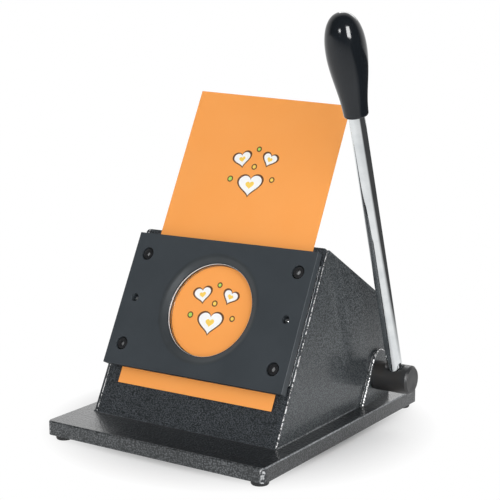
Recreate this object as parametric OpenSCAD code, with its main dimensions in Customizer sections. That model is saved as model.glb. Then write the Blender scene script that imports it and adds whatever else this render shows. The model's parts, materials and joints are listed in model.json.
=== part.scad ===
// Lever punch that cuts the round prints for button badges: a wedge housing on a base plate,
// a die plate on its sloping face, and a punch carriage pushed by a cam on the lever's shaft.
// Origin: middle of the base plate's underside. +X right, +Y to the rear, +Z up. Millimetres.

/* [Disc and paper] */
// Diameter of the disc that is cut
disc_d = 70; // [60:1:76]
// Width of the paper sheet where it shows
paper_w = 134.5; // [128:0.5:136]
// Length of the paper sheet's left edge, measured up the slope
paper_l = 236.7; // [190:0.1:260]
// How much shorter the right edge is, because the sheet's upper edge is cut out of square
paper_skew = 7.4; // [0:0.1:9]
// Thickness of the paper
paper_t = 0.3; // [0.2:0.05:0.4]
// How far the sheet lies to the right of the middle
paper_shift = 2.3; // [0:0.1:3]
// Height of the sheet's lower edge above the panel's foot, measured up the slope
paper_foot = 24.5; // [16:0.5:30]

/* [Housing] */
// Overall width of the housing
body_w = 160; // [154:1:172]
// Length of the sloping front panel
panel_l = 145; // [142:1:165]
// Angle of the front panel to the base plate, in degrees
slope = 62.2; // [60:0.1:64]
// Angle at which the top cover falls to the rear, in degrees
back_slope = 30.4; // [26:0.2:33]
// Thickness of the front and side panels
wall_t = 3; // [2.5:0.25:4]
// Thickness of the top and rear covers
cover_t = 2.5; // [2:0.25:3]
// Radius of the front panel's upper corners
panel_corner = 3; // [1.5:0.5:5]
// Distance from the shaft's axis to the rear of the housing
rear_reach = 21.6; // [21:0.2:28]

/* [Base plate and feet] */
// Thickness of the base plate
base_t = 10.5; // [9:0.5:14]
// How far the base plate stands out in front of the panel's foot
front_apron = 36.6; // [30:0.5:45]
// How far the base plate stands out behind the housing
rear_apron = 27; // [20:1:35]
// How far the base plate stands out beyond each side of the housing
side_apron = 14; // [10:0.5:14]
// Radius of the base plate's corners, seen from above
base_corner = 4; // [2:0.5:8]
// Chamfer along the base plate's upper edge
base_edge = 0.8; // [0.4:0.1:1.5]
// Diameter of a rubber foot
foot_d = 12.5; // [12:0.5:17]
// How far a foot stands out below the base plate
foot_h = 4.2; // [2.8:0.1:5]
// Depth of the pocket that a foot sits in
foot_pocket = 2; // [1:0.5:3]
// Distance from the base plate's edges to a foot's middle
foot_inset = 9; // [9:0.5:16]

/* [Die set] */
// Height of the die plate's middle above the panel's foot, measured up the slope
die_s = 87.8; // [86:0.1:90]
// Height of the die plate, measured up the slope
die_h = 103; // [100:1:106]
// Thickness of the die plate
die_t = 6; // [5.5:0.25:7]
// How far the die plate stays inside each side of the housing
die_inset = 1.7; // [1:0.1:3]
// Width of the countersink around the die hole
sink_w = 7; // [4:0.5:9]
// Depth of the countersink around the die hole
sink_depth = 3; // [2:0.25:3.25]
// Radial width of the hardened die ring
ring_w = 4.4; // [3:0.2:6]
// Thickness of the hardened die ring
ring_t = 2.6; // [1.5:0.1:2.6]
// Thickness of the stripper plate that the paper lies on
stripper_t = 1; // [0.75:0.25:2]
// Thickness of the slot spacers, which is the gap for the paper
slot_gap = 1.6; // [1:0.1:2]
// Thickness of the punch guide behind the front panel
guide_t = 8; // [6:0.5:10]
// Distance from the die plate's side edges to its screws and dowels
screw_inset = 12; // [11:0.5:13]
// Distance from the die plate's upper and lower edges to its screws
screw_drop = 16.2; // [13:0.2:18]
// Thread diameter of the die screws
screw_d = 5; // [4:0.5:6]

/* [Punch carriage] */
// Thickness of the punch's cutting head
punch_head_t = 14; // [10:0.5:18]
// Diameter of the punch's neck
neck_d = 44; // [36:1:50]
// Distance from the front panel's face to the carriage's front face
carriage_depth = 34; // [30:0.5:40]
// Thickness of the carriage
carriage_t = 12; // [10:0.5:14]
// Height of the carriage, measured up the slope
carriage_h = 36; // [30:1:44]
// Diameter of the guide posts
post_d = 10; // [8:0.5:11]
// Diameter of the dowel end of a guide post
dowel_d = 6; // [5:0.25:7]
// Diameter of the push stem
stem_d = 26; // [22:1:30]
// Diameter of the hardened follower pad
pad_d = 30; // [26:1:36]
// Thickness of the hardened follower pad
pad_t = 4; // [3:0.5:6]
// Diameter of the return spring's wire
wire_d = 1.8; // [1.4:0.1:2]

/* [Shaft and cam] */
// Distance from the front panel's face back to the shaft's axis
drive_l = 113.2; // [112:0.2:114]
// Radius of the cam's base circle, which sets the punch travel for each turn of the lever
cam_base_r = 4.9; // [4.6:0.1:5.2]
// Distance from the shaft's axis to the follower pad with the lever up
cam_rise = 12; // [11.9:0.1:13]
// Width of the cam's lobe
cam_w = 16; // [12:1:20]
// Width of the cam's hub
hub_w = 30; // [28:1:36]
// Diameter of the shaft where it turns in its bushes
journal_d = 14; // [12:0.5:14]
// Wall of a shaft bush
bush_wall = 1; // [0.75:0.25:1]
// Diameter of the shaft's head, which holds the lever rod
head_d = 22; // [20:0.5:24]
// Length of the shaft's head
head_l = 29.2; // [28:0.2:33]
// Distance from the shoulder of the shaft's head to the middle of the lever rod
rod_place = 16.1; // [12:0.1:18]
// Thickness of the bearing plates on the housing's sides
lug_t = 3; // [2.5:0.25:4]
// Radius of a bearing plate's rounded top
lug_r = 11.5; // [11:0.25:13]

/* [Lever] */
// Distance from the shaft's axis to the top of the grip
lever_l = 287; // [240:1:310]
// Diameter of the lever rod
rod_d = 11.5; // [10:0.5:12]
// How far the lever leans forward when it is up, in degrees
lever_lean = 19; // [10:0.5:20]
// Length of the grip
grip_l = 73.5; // [68:0.5:90]
// Largest diameter of the grip
grip_d = 28.2; // [24:0.2:30]
// Diameter of the grip at its lower end
grip_neck_d = 17.3; // [16:0.1:20]

/* [Hidden] */
$fn = 96;

// Clearances
run_gap = 0.05;      // radial gap of a shaft, post or punch that runs in its hole
seat_gap = 0.02;     // radial gap of a piece pressed or screwed into another
face_gap = 0.15;     // gap between flat faces that move past each other
drop_in = 0.3;       // gap around a screw in its clearance hole, or a foot in its pocket
trim_gap = 0.6;      // gap around the cut disc, and between sheet and spacers
over = 1;            // how far a cutting tool runs past the face it cuts

// Colours
paint = [0.22, 0.24, 0.26];
die_paint = [0.26, 0.28, 0.3];
black_steel = [0.16, 0.16, 0.17];
bright_steel = [0.72, 0.73, 0.75];
orange_card = [1, 0.66, 0.35];

// Depths of the die set's faces in front of the panel's face
stripper_face = stripper_t;
die_back = stripper_t + slot_gap;
die_face = die_back + die_t;
paper_lift = 0.15;
paper_back = stripper_face + paper_lift;

// Main sizes that follow from the driving ones
disc_r = disc_d / 2;
half_w = body_w / 2;
inner_half = half_w - wall_t;
shaft_s = die_s - cam_base_r;
shaft_u = front_apron + shaft_s * cos(slope) + drive_l * sin(slope);
rear_u = shaft_u + rear_reach;
base_l = rear_u + rear_apron;
base_w = body_w + 2 * side_apron;
shaft_y = shaft_u - base_l / 2;
shaft_z = base_t + shaft_s * sin(slope) - drive_l * cos(slope);
apex_y = front_apron - base_l / 2 + panel_l * cos(slope);
apex_z = base_t + panel_l * sin(slope);
rear_y = rear_u - base_l / 2;
rear_top_z = apex_z - (rear_y - apex_y) * tan(back_slope);
cover_rise = cover_t / cos(back_slope);

// Die plate and its fasteners
die_w = body_w - 2 * die_inset;
screw_x = die_w / 2 - screw_inset;
screw_y = die_h / 2 - screw_drop;
cap_head_d = screw_d * 1.7;
cap_head_h = screw_d * 0.7;
cap_recess = cap_head_h + 0.7;
post_y = 0.5;
guide_rim = 15;      // width of the punch guide below its bore
guide_drop = 7.2;    // from the panel's upper edge down to the punch guide
guide_side = 2;      // gap between the punch guide and each side panel
guide_low = disc_r + guide_rim;
guide_high = panel_l - die_s - guide_drop;
guide_w = 2 * (inner_half - guide_side);
spacer_in = screw_x - screw_d / 2 - 2;
spacer_h = die_h - 16;
waist_half = spacer_in - trim_gap;
waist_h = spacer_h + 2;
die_lip = die_t - sink_depth - ring_t;
ring_r = disc_r + ring_w;

// Carriage
carriage_w = 2 * screw_x + post_d + 8;
carriage_back = carriage_depth + carriage_t;
post_bush_r = post_d / 2 + 2;
post_flange_r = post_d / 2 + 4;
post_flange_t = 2;
post_bush_tail = 2;
post_end = carriage_back + post_bush_tail + 7;
ring_groove = carriage_back + post_bush_tail + face_gap;
post_ring_t = 1.5;
spring_len = carriage_depth - post_flange_t - wall_t - guide_t;
spring_r = post_d / 2 + wire_d / 2 + 0.5;
spring_turns = 4;
stem_spigot_d = 12;
stem_spigot_l = carriage_t + 10;
pad_face = drive_l - cam_rise - 0.1;
pad_spigot_d = 10;
pad_spigot_l = 8;

// Shaft, bushes and cam
lug_face = half_w + lug_t;
washer_t = 1;
head_x = lug_face + face_gap + washer_t;
head_end = head_x + head_l;
collar_w = 10;
collar_wall = 6;
collar_r = journal_d / 2 + collar_wall;
collar_x = head_x;
shaft_tail = 1.5;    // how far the shaft stands out of its collar
shaft_end = collar_x + collar_w + shaft_tail;
bush_r = journal_d / 2 + run_gap + bush_wall;
bush_flange_r = bush_r + 3;
bush_flange_t = 1.5;
hub_r = cam_rise - 0.5;
lift_turn = 68;
cam_spare = 8;
key_s = 4;
key_l = hub_w - 12;
set_d = 4;
lug_cy = 6.2;
lug_cz = 7;

// Lever
lever_x = head_x + rod_place;
rod_foot = 9;
grip_foot = lever_l - grip_l;
rod_in_grip = 50;
grip_wide = 0.63 * grip_l;

// Base fittings
rail_s = 10;
rail_set = 14;       // from the panel's foot back to the rails
rail_front = front_apron + rail_set - base_l / 2;
rail_back = shaft_y - bush_flange_r - 4;
base_screw_set = 10; // from a rail's end to its first screw
bar_s = 8;
bar_drop = 6;        // gap between a rear bar and the top cover
base_screw_d = 5;
cover_screw_d = 4;
cover_screw_low = 12;   // from the base plate up to the rear cover's lower screws
cover_screw_high = 14;  // from the top cover down to the rear cover's upper screws
foot_screw_d = 4;

// Moves to the sloping front face: x right, y up the slope, z out of the face
module on_slope() {
    translate([0, front_apron - base_l / 2, base_t]) rotate([slope, 0, 0]) children();
}

// Moves to the punch axis where it meets the plane at the given distance out of the front face
module on_axis(out = 0) {
    on_slope() translate([0, die_s, out]) children();
}

// Extrudes an outline drawn in (y, z) along X, from x0 over width w
module across(x0, w) {
    translate([x0, 0, 0]) rotate([90, 0, 90]) linear_extrude(w) children();
}

// Moves to the shaft's axis with z along X
module on_shaft(x0 = 0) {
    translate([x0, shaft_y, shaft_z]) rotate([0, 90, 0]) children();
}

// A block centred in x and y that stands from z0 to z1
module slab(w, h, z0, z1) {
    translate([-w / 2, -h / 2, z0]) cube([w, h, z1 - z0]);
}

// A round bar on the z axis from z0 to z1
module bar(r, z0, z1) {
    translate([0, 0, z0]) cylinder(r = r, h = z1 - z0);
}

// A tube on the z axis from z0 to z1
module tube(r_out, r_in, z0, z1) {
    difference() {
        bar(r_out, z0, z1);
        bar(r_in, z0 - over, z1 + over);
    }
}

// Socket-head screw: the head's seat is at z = 0 and the shank runs down
module cap_screw(d, l, head_d, head_h) {
    difference() {
        union() {
            bar(head_d / 2, 0, head_h);
            bar(d / 2, -l, over / 2);
        }
        translate([0, 0, head_h * 0.35]) cylinder(d = d * 0.9, h = head_h, $fn = 6);
    }
}

// Countersunk screw: its flat head is at z = 0 and the shank runs down
module flat_screw(d, l) {
    difference() {
        union() {
            translate([0, 0, -d / 2]) cylinder(r1 = d / 2, r2 = d, h = d / 2);
            bar(d / 2, -l, -d / 2 + over / 4);
        }
        translate([0, 0, -d * 0.35]) cylinder(d = d * 0.6, h = d, $fn = 6);
    }
}

// The four screw places of the die plate
module at_die_screws() {
    for (sx = [-1, 1], sy = [-1, 1]) translate([sx * screw_x, sy * screw_y, 0]) children();
}

// The two guide post places
module at_posts() {
    for (sx = [-1, 1]) translate([sx * screw_x, post_y, 0]) children();
}

// Holes for the screws and the dowel ends through a flat piece on the slope
module die_holes(z0, z1, screw_gap) {
    at_die_screws() bar(screw_d / 2 + screw_gap, z0 - over, z1 + over);
    at_posts() bar(dowel_d / 2 + seat_gap, z0 - over, z1 + over);
}

// Outline of a side panel before the front panel's thickness is cut away, in (y, z)
module side_outline() {
    polygon([
        [front_apron - base_l / 2, base_t],
        [apex_y, apex_z],
        [rear_y, rear_top_z],
        [rear_y, base_t]
    ]);
}

// All that lies in front of the front panel's back face
module front_space() {
    on_slope() translate([-body_w, -panel_l, -wall_t]) cube([2 * body_w, 3 * panel_l, panel_l]);
}

// Plate under the housing, with pockets for the feet and holes for the screws
module base_plate() {
    color(paint) difference() {
        union() {
            slab_rounded(base_w, base_l, base_corner, 0, base_t - base_edge);
            base_top_edge();
        }
        at_feet() {
            bar(foot_d / 2 + drop_in, -over, foot_pocket);
            bar(foot_screw_d / 2 + seat_gap, 0, base_t - 2);
        }
        at_base_screws() {
            bar(base_screw_d / 2 + drop_in, -over, base_t + over);
            translate([0, 0, -over]) cylinder(
                r1 = base_screw_d + drop_in + over, r2 = base_screw_d / 2 + drop_in,
                h = base_screw_d / 2 + over);
        }
    }
}

// Block with rounded upright corners
module slab_rounded(w, l, r, z0, z1) {
    slab(w - 2 * r, l, z0, z1);
    slab(w, l - 2 * r, z0, z1);
    for (sx = [-1, 1], sy = [-1, 1]) translate([sx * (w / 2 - r), sy * (l / 2 - r), 0]) bar(r, z0, z1);
}

// The chamfered layer on top of the base plate
module base_top_edge() {
    e = base_edge;
    z0 = base_t - e;
    hw = base_w / 2;
    hl = base_l / 2;
    across(-hw + base_corner, base_w - 2 * base_corner)
        polygon([[-hl, z0], [-hl + e, base_t], [hl - e, base_t], [hl, z0]]);
    translate([0, hl - base_corner, 0]) rotate([90, 0, 0]) linear_extrude(base_l - 2 * base_corner)
        polygon([[-hw, z0], [-hw + e, base_t], [hw - e, base_t], [hw, z0]]);
    for (sx = [-1, 1], sy = [-1, 1])
        translate([sx * (hw - base_corner), sy * (hl - base_corner), z0])
            cylinder(r1 = base_corner, r2 = base_corner - e, h = e);
}

// The four foot places under the base plate
module at_feet() {
    for (sx = [-1, 1], sy = [-1, 1])
        translate([sx * (base_w / 2 - foot_inset), sy * (base_l / 2 - foot_inset), 0]) children();
}

// The six places where screws come up through the base plate into the rails
module at_base_screws() {
    for (sx = [-1, 1], k = [0, 1, 2])
        let (pitch = (rail_back - rail_front - 2 * base_screw_set) / 2)
        translate([sx * (inner_half - rail_s / 2), rail_front + base_screw_set + k * pitch, 0]) children();
}

// Four rubber feet, each with a recess for its screw
module rubber_feet() {
    edge = 0.8;
    color(black_steel) at_feet() difference() {
        union() {
            bar(foot_d / 2, -foot_h + edge, foot_pocket);
            translate([0, 0, -foot_h]) cylinder(r1 = foot_d / 2 - edge, r2 = foot_d / 2, h = edge);
        }
        bar(foot_screw_d, -foot_h - over, -foot_h + 2.6);
        bar(foot_screw_d / 2 + drop_in, -foot_h, foot_pocket + over);
    }
}

// Screws that hold the feet
module foot_screws() {
    color(bright_steel) at_feet() translate([0, 0, -foot_h + 2.6]) rotate([180, 0, 0])
        cap_screw(foot_screw_d, base_t + foot_h - 5.2, foot_screw_d * 1.7, 2);
}

// Countersunk screws through the base plate into the rails
module base_screws() {
    color(bright_steel) at_base_screws() rotate([180, 0, 0]) translate([0, 0, -drop_in])
        flat_screw(base_screw_d, base_t + rail_s - 2);
}

// Square rail inside a side panel that takes the base screws; side is -1 for left and 1 for right
module mounting_rail(side) {
    color(paint) difference() {
        translate([side < 0 ? -inner_half : inner_half - rail_s, rail_front, base_t])
            cube([rail_s, rail_back - rail_front, rail_s]);
        at_base_screws() bar(base_screw_d / 2 + seat_gap, base_t - over, base_t + rail_s + over);
    }
}

// Side panel with its bore for the shaft bush
module side_panel(side) {
    color(paint) difference() {
        across(side < 0 ? -half_w : inner_half, wall_t) side_outline();
        front_space();
        on_shaft(side * half_w) bar(bush_r + seat_gap, -2 * wall_t, 2 * wall_t);
    }
}

// Sloping front panel with round upper corners and a hole for the punch
module front_panel() {
    r = panel_corner;
    color(paint) intersection() {
        on_slope() difference() {
            union() {
                translate([-half_w, -wall_t * 2, -wall_t]) cube([body_w, panel_l - r + wall_t * 2, wall_t]);
                translate([-half_w + r, panel_l - r - over, -wall_t])
                    cube([body_w - 2 * r, r + over, wall_t]);
                for (sx = [-1, 1]) translate([sx * (half_w - r), panel_l - r, 0]) bar(r, -wall_t, 0);
            }
            translate([0, die_s, 0]) {
                bar(disc_r + trim_gap, -wall_t - over, over);
                die_holes(-wall_t, 0, drop_in);
            }
        }
        translate([-body_w, -base_l, base_t]) cube([2 * body_w, 2 * base_l, 2 * panel_l]);
    }
}

// Cover that closes the top, between the side panels
module top_cover() {
    color(paint) difference() {
        across(-inner_half, 2 * inner_half) polygon([
            [apex_y, apex_z], [rear_y, rear_top_z],
            [rear_y, rear_top_z - cover_rise], [apex_y, apex_z - cover_rise]
        ]);
        front_space();
    }
}

// The four screw places of the rear cover, with z pointing to the rear
module at_cover_screws() {
    for (sx = [-1, 1], z = [base_t + cover_screw_low, rear_top_z - cover_rise - cover_screw_high])
        translate([sx * (inner_half - bar_s / 2), rear_y, z]) rotate([-90, 0, 0]) children();
}

// Removable cover that closes the rear
module rear_cover() {
    low = base_t + face_gap;
    high = rear_top_z - cover_rise - face_gap;
    color(paint) difference() {
        translate([-inner_half + face_gap, rear_y - cover_t, low])
            cube([2 * (inner_half - face_gap), cover_t, high - low]);
        at_cover_screws() bar(cover_screw_d / 2 + drop_in, -2 * cover_t, over);
    }
}

// Upright bars inside the rear corners that take the cover's screws
module rear_bars() {
    color(paint) difference() {
        for (sx = [-1, 1])
            translate([sx * (inner_half - bar_s / 2) - bar_s / 2, rear_y - cover_t - bar_s, base_t])
                cube([bar_s, bar_s, rear_top_z - cover_rise - bar_drop - base_t]);
        at_cover_screws() bar(cover_screw_d / 2 + seat_gap, -cover_t - bar_s - over, 0);
    }
}

// Button-head screws of the rear cover
module rear_cover_screws() {
    color(bright_steel) at_cover_screws()
        cap_screw(cover_screw_d, cover_t + bar_s - 1, cover_screw_d * 1.9, cover_screw_d * 0.55);
}

// Rounded, tapered plate on a housing side that carries the shaft bush
module bearing_plate(side) {
    cy = shaft_y + lug_cy;
    cz = shaft_z + lug_cz;
    rise = cz - base_t + lug_r * cos(slope);
    out = lug_r * sin(slope);
    x0 = side < 0 ? -half_w - lug_t : half_w;
    color(paint) difference() {
        intersection() {
            across(x0, lug_t) difference() {
                polygon([
                    [cy - out - rise / tan(slope), base_t],
                    [cy - out + lug_r / tan(slope), base_t + rise + lug_r],
                    [cy + out - lug_r / tan(slope), base_t + rise + lug_r],
                    [cy + out + rise / tan(slope), base_t]
                ]);
                difference() {
                    translate([cy - 2 * lug_r, base_t + rise]) square([4 * lug_r, 2 * lug_r]);
                    translate([cy, cz]) circle(r = lug_r);
                }
            }
            translate([-body_w, rear_y - 2 * base_l, 0]) cube([2 * body_w, 2 * base_l, 2 * panel_l]);
        }
        on_shaft(side * half_w) bar(bush_r + seat_gap, -2 * lug_t, 2 * lug_t);
    }
}

// Flanged bush through a side panel and its bearing plate
module shaft_bush(side) {
    color("darkgoldenrod") mirror([side < 0 ? 1 : 0, 0, 0]) on_shaft() {
        tube(bush_r, journal_d / 2 + run_gap, inner_half, lug_face);
        tube(bush_flange_r, journal_d / 2 + run_gap, inner_half - bush_flange_t, inner_half);
    }
}

// Thin hardened plate on the front panel that the paper lies on
module stripper_plate() {
    color(bright_steel) on_axis() difference() {
        slab(die_w, spacer_h, 0, stripper_face);
        bar(disc_r + run_gap, -over, stripper_face + over);
        die_holes(0, stripper_face, drop_in);
    }
}

// Strip beside the paper that holds the slot open
module slot_spacer(side) {
    color(black_steel) on_axis() difference() {
        translate([side < 0 ? -die_w / 2 : spacer_in, -spacer_h / 2, stripper_face])
            cube([die_w / 2 - spacer_in, spacer_h, slot_gap]);
        die_holes(stripper_face, die_back, drop_in);
    }
}

// Thick plate with the countersunk die hole, screw recesses and dowel holes
module die_plate() {
    lip_r = disc_r + 1;
    color(die_paint) on_axis() difference() {
        slab(die_w, die_h, die_back, die_face);
        translate([0, 0, die_face - sink_depth]) cylinder(
            r1 = lip_r, r2 = disc_r + sink_w + (disc_r + sink_w - lip_r) * over / sink_depth,
            h = sink_depth + over);
        bar(lip_r, die_back - over, die_face);
        bar(ring_r + seat_gap, die_back - over, die_back + ring_t);
        die_holes(die_back, die_face, drop_in);
        at_die_screws() bar(cap_head_d / 2 + 0.75, die_face - cap_recess, die_face + over);
    }
}

// Hardened ring behind the lip of the die hole, which the punch enters
module die_ring() {
    color(bright_steel) on_axis() tube(ring_r, disc_r + run_gap, die_back, die_back + ring_t);
}

// Low-head screws that hold the die set to the punch guide
module die_screws() {
    seat = die_face - cap_recess;
    color(black_steel) on_axis(seat) at_die_screws()
        cap_screw(screw_d, seat + wall_t + guide_t, cap_head_d, cap_head_h);
}

// Thick plate behind the front panel in whose bore the punch slides
module punch_guide() {
    color(bright_steel) on_axis() difference() {
        translate([-guide_w / 2, -guide_low, -wall_t - guide_t])
            cube([guide_w, guide_low + guide_high, guide_t]);
        bar(disc_r + run_gap, -wall_t - guide_t - over, 0);
        die_holes(-wall_t - guide_t, -wall_t, seat_gap);
    }
}

// Posts that guide the carriage; their dowel ends line up the die plate
module guide_posts() {
    color(bright_steel) on_axis() at_posts() difference() {
        union() {
            bar(post_d / 2, -post_end, -wall_t - guide_t);
            bar(dowel_d / 2, -wall_t - guide_t - over, die_face - 2.4);
        }
        tube(post_d, post_d / 2 - 0.6, -ring_groove - post_ring_t, -ring_groove);
    }
}

// Retaining rings that stop the carriage at the ends of the posts
module post_rings() {
    color(black_steel) on_axis() at_posts()
        tube(post_d / 2 + 2.5, post_d / 2 - 0.6 + seat_gap, -ring_groove - post_ring_t, -ring_groove);
}

// Sheet in the slot, with the round hole that the punch cuts and a waist between the spacers
module paper_sheet() {
    color(orange_card) on_slope() difference() {
        translate([-paper_w / 2 + paper_shift, paper_foot, paper_back]) linear_extrude(paper_t)
            polygon([[0, 0], [paper_w, 0], [paper_w, paper_l - paper_skew], [0, paper_l]]);
        translate([0, die_s, 0]) {
            bar(disc_r + trim_gap / 2, paper_back - over, paper_back + over);
            for (sx = [-1, 1]) translate([sx * (waist_half + body_w / 2), 0, 0])
                slab(body_w, waist_h, paper_back - over, paper_back + over);
        }
    }
}

// Point on a ring of the spring's wire, i rings along the coil and j steps round the wire
function spring_point(i, j, rings, sides) =
    let (turn = 360 * spring_turns * i / rings,
         lift = wire_d / 2 + (spring_len - wire_d) * i / rings,
         a = 360 * j / sides,
         r = spring_r + wire_d / 2 * cos(a))
    [r * cos(turn), r * sin(turn), lift + wire_d / 2 * sin(a)];

// Coil spring standing on z = 0
module coil() {
    rings = spring_turns * 16;
    sides = 8;
    points = [for (i = [0:rings], j = [0:sides - 1]) spring_point(i, j, rings, sides)];
    skin = [for (i = [0:rings - 1], j = [0:sides - 1])
        [(i + 1) * sides + j, (i + 1) * sides + (j + 1) % sides, i * sides + (j + 1) % sides, i * sides + j]];
    ends = [
        [for (j = [0:sides - 1]) j],
        [for (j = [sides - 1:-1:0]) rings * sides + j]
    ];
    polyhedron(points, concat(skin, ends));
}

// Springs round the posts that push the carriage back
module return_springs() {
    color(bright_steel) on_axis(-carriage_depth + post_flange_t) at_posts() coil();
}

// Punch: cutting head on a neck that stands on the carriage
module punch() {
    edge = 1.5;
    head_back = stripper_face - punch_head_t;
    color(bright_steel) on_axis() difference() {
        union() {
            bar(disc_r, head_back + edge, stripper_face);
            translate([0, 0, head_back]) cylinder(r1 = disc_r - edge, r2 = disc_r, h = edge);
            bar(neck_d / 2, -carriage_depth, head_back + over);
        }
        bar(stem_spigot_d / 2 + seat_gap, -carriage_depth - over, -carriage_back + stem_spigot_l + 2);
        at_carriage_screws() bar(screw_d / 2 + seat_gap, -carriage_depth - over, -carriage_depth + 12);
    }
}

// The two screw places that join the carriage to the punch's neck
module at_carriage_screws() {
    for (sy = [-1, 1]) translate([0, sy * (neck_d / 4 + stem_spigot_d / 4), 0]) children();
}

// Crosswise plate that runs on the posts
module carriage() {
    color(die_paint) on_axis() difference() {
        slab(carriage_w, carriage_h, -carriage_back, -carriage_depth);
        at_posts() bar(post_bush_r + seat_gap, -carriage_back - over, -carriage_depth + over);
        bar(stem_spigot_d / 2 + seat_gap, -carriage_back - over, -carriage_depth + over);
        at_carriage_screws() {
            bar(screw_d / 2 + drop_in, -carriage_back - over, -carriage_depth + over);
            bar(cap_head_d / 2 + drop_in, -carriage_back - over, -carriage_back + cap_head_h + drop_in);
        }
    }
}

// Flanged bushes in the carriage
module carriage_bushes() {
    bore = post_d / 2 + run_gap;
    color("darkgoldenrod") on_axis() at_posts() {
        tube(post_bush_r, bore, -carriage_back - post_bush_tail, -carriage_depth);
        tube(post_flange_r, bore, -carriage_depth, -carriage_depth + post_flange_t);
    }
}

// Screws from the carriage into the punch's neck
module carriage_screws() {
    seat = -carriage_back + cap_head_h + drop_in;
    color(black_steel) on_axis(seat) at_carriage_screws() rotate([180, 0, 0])
        cap_screw(screw_d, carriage_t + 6, cap_head_d, cap_head_h);
}

// Stem that carries the cam's push to the punch
module push_stem() {
    color(bright_steel) on_axis() difference() {
        union() {
            bar(stem_d / 2, -pad_face + pad_t, -carriage_back);
            bar(stem_spigot_d / 2, -carriage_back - over, -carriage_back + stem_spigot_l);
        }
        bar(pad_spigot_d / 2 + seat_gap, -pad_face + pad_t - over, -pad_face + pad_t + pad_spigot_l + over);
        at_carriage_screws() bar(cap_head_d / 2 + drop_in, -carriage_back - over, -carriage_back + over);
    }
}

// Hardened pad that the cam pushes
module follower_pad() {
    edge = 1;
    color(black_steel) on_axis() {
        translate([0, 0, -pad_face]) cylinder(r1 = pad_d / 2 - edge, r2 = pad_d / 2, h = edge);
        bar(pad_d / 2, -pad_face + edge, -pad_face + pad_t);
        bar(pad_spigot_d / 2, -pad_face + pad_t - over, -pad_face + pad_t + pad_spigot_l);
    }
}

// The disc that the punch has cut
module paper_disc() {
    color(orange_card) on_axis() bar(disc_r - trim_gap / 2, paper_back, paper_back + paper_t);
}

// Shaft across the housing, with a stout head outside it that holds the rod
module cross_shaft() {
    end_edge = 1.5;
    color(black_steel) difference() {
        union() {
            on_shaft() {
                bar(journal_d / 2, -shaft_end + 1, head_x + over);
                translate([0, 0, -shaft_end]) cylinder(r1 = journal_d / 2 - 1, r2 = journal_d / 2, h = 1);
                bar(head_d / 2, head_x, head_end - end_edge);
                translate([0, 0, head_end - end_edge])
                    cylinder(r1 = head_d / 2, r2 = head_d / 2 - end_edge, h = end_edge);
            }
        }
        on_lever() {
            bar(rod_d / 2 + seat_gap, -rod_foot, head_d);
            translate([0, 0, head_d / 2 - 2]) cylinder(r1 = rod_d / 2, r2 = rod_d / 2 + 6, h = 6);
        }
        on_cam() translate([-key_l / 2, -journal_d / 2 - key_s / 2, -key_s / 2])
            cube([key_l, key_s, key_s]);
    }
}

// Moves to the shaft where the rod stands, with z along the rod
module on_lever() {
    translate([lever_x, shaft_y, shaft_z]) rotate([lever_lean, 0, 0]) children();
}

// Moves to the shaft at the punch axis: x along the shaft, y up the slope, z towards the front face
module on_cam() {
    on_slope() translate([0, shaft_s, -drive_l]) children();
}

// Washers between the bearing plates and the shaft's head and collar
module thrust_washers() {
    for (side = [-1, 1]) color(bright_steel) mirror([side < 0 ? 1 : 0, 0, 0])
        on_shaft() tube(journal_d / 2 + 3, journal_d / 2 + seat_gap, head_x - washer_t, head_x);
}

// Point of the cam's outline that touches the pad when the lever has turned by a degrees
function cam_point(a) =
    let (reach = cam_rise + cam_base_r * a * PI / 180)
    [cam_base_r * cos(a) + reach * sin(a), reach * cos(a) - cam_base_r * sin(a)];

// Snail cam: an involute, so that the pad moves evenly with the lever
module cam() {
    tip = lift_turn + cam_spare;
    lobe = [for (a = [0:2:tip]) cam_point(a)];
    color(bright_steel) on_cam() difference() {
        union() {
            across(-cam_w / 2, cam_w) polygon(concat([[0, 0]], lobe, [[hub_r * 0.6, -hub_r * 0.8]]));
            across(-hub_w / 2, hub_w) circle(r = hub_r);
        }
        across(-hub_w, 2 * hub_w) circle(r = journal_d / 2 + seat_gap);
        translate([-hub_w, -journal_d / 2 - key_s / 2 - seat_gap, -key_s / 2])
            cube([2 * hub_w, key_s, key_s]);
        translate([hub_w / 2 - 3.5, 0, 0]) rotate([180, 0, 0]) bar(set_d / 2 + seat_gap, 0, 2 * hub_r);
    }
}

// Key between the shaft and the cam
module cam_key() {
    color(black_steel) on_cam() translate([-key_l / 2, -journal_d / 2 - key_s / 2, -key_s / 2])
        cube([key_l, key_s, key_s]);
}

// Screw that locks the cam's hub on the shaft
module cam_set_screw() {
    color(black_steel) on_cam() translate([hub_w / 2 - 3.5, 0, 0]) rotate([180, 0, 0])
        set_screw(journal_d / 2, hub_r - 0.5);
}

// Headless screw along z from z0 to z1 with a hexagon socket in its outer end
module set_screw(z0, z1) {
    difference() {
        bar(set_d / 2, z0, z1);
        translate([0, 0, z1 - 1.5]) cylinder(d = set_d / 2, h = 2 * over + 1.5, $fn = 6);
    }
}

// Collar that keeps the shaft from moving endways
module shaft_collar() {
    color(black_steel) mirror([1, 0, 0]) on_shaft() difference() {
        tube(collar_r, journal_d / 2 + seat_gap, collar_x, collar_x + collar_w);
        translate([0, 0, collar_x + collar_w / 2]) rotate([0, -90, 0])
            bar(set_d / 2 + seat_gap, 0, 2 * collar_r);
    }
}

// Screw that locks the collar on the shaft
module collar_set_screw() {
    color(bright_steel) mirror([1, 0, 0]) on_shaft(collar_x + collar_w / 2) rotate([0, -90, 0])
        set_screw(journal_d / 2, collar_r - 0.5);
}

// Rod of the lever, from the shaft's head into the grip
module lever_rod() {
    color("silver") on_lever() bar(rod_d / 2, -rod_foot, grip_foot + rod_in_grip);
}

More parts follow.
